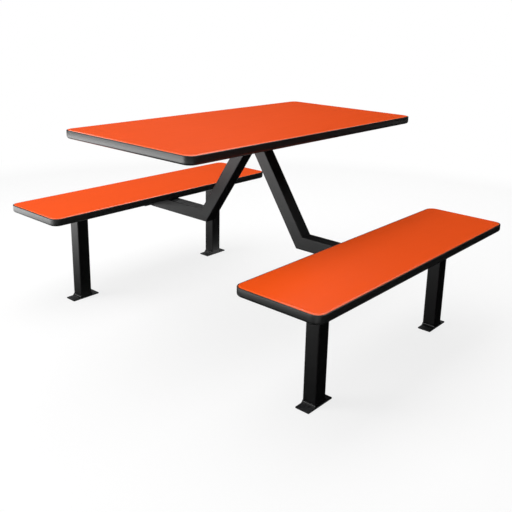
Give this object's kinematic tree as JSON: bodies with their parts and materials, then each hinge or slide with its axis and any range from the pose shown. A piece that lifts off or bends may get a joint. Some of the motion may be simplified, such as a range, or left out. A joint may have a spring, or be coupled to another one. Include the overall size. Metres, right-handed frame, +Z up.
{
  "type": "canteen table with attached benches",
  "caption": "Rectangular laminated canteen table joined by cranked square-tube arms to a fixed bench along each long side, for communal dining.",
  "frame": {"origin": "on the floor, under the middle of the table top", "axes": "+X along the table and the benches, +Y across to the left bench, +Z up"},
  "size_m": [1.22, 1.489, 0.75],
  "materials": {
    "laminate": "orange high-pressure laminate, satin, with a fine grain",
    "edge": "black moulded edge, satin",
    "core": "plain chipboard core",
    "backing": "dark grey backing laminate, matt",
    "frame": "black powder coat on welded steel, satin with a light orange peel",
    "fixing": "bright zinc plated",
    "plug": "black moulded plastic"
  },
  "bodies": {
    "root": {"table_core_board": "core", "table_laminate": "laminate", "table_backing_sheet": "backing", "table_edge_moulding": "edge", "seat_core_board_left": "core", "seat_laminate_left": "laminate", "seat_backing_sheet_left": "backing", "seat_edge_moulding_left": "edge", "bench_rail_left": "frame", "arm_level_tube_left": "frame", "arm_diagonal_tube_left": "frame", "arm_end_plate_left": "frame", "leg_left_near": "frame", "foot_plate_left_near": "frame", "seat_strap_left_near": "frame", "arm_bolt_left_near": "fixing", "arm_nut_left_near": "fixing", "seat_screw_left_near_inner": "fixing", "seat_screw_left_near_outer": "fixing", "leg_left_far": "frame", "foot_plate_left_far": "frame", "seat_strap_left_far": "frame", "arm_bolt_left_far": "fixing", "arm_nut_left_far": "fixing", "seat_screw_left_far_inner": "fixing", "seat_screw_left_far_outer": "fixing", "seat_core_board_right": "core", "seat_laminate_right": "laminate", "seat_backing_sheet_right": "backing", "seat_edge_moulding_right": "edge", "bench_rail_right": "frame", "arm_level_tube_right": "frame", "arm_diagonal_tube_right": "frame", "arm_end_plate_right": "frame", "leg_right_near": "frame", "foot_plate_right_near": "frame", "seat_strap_right_near": "frame", "arm_bolt_right_near": "fixing", "arm_nut_right_near": "fixing", "seat_screw_right_near_inner": "fixing", "seat_screw_right_near_outer": "fixing", "leg_right_far": "frame", "foot_plate_right_far": "frame", "seat_strap_right_far": "frame", "arm_bolt_right_far": "fixing", "arm_nut_right_far": "fixing", "seat_screw_right_far_inner": "fixing", "seat_screw_right_far_outer": "fixing", "apex_plate": "frame", "table_rail": "frame", "rail_end_plug_near": "plug", "table_cross_bar_near": "frame", "table_screw_near_left": "fixing", "table_screw_near_right": "fixing", "rail_end_plug_far": "plug", "table_cross_bar_far": "frame", "table_screw_far_left": "fixing", "table_screw_far_right": "fixing"}
  },
  "joints": []
}
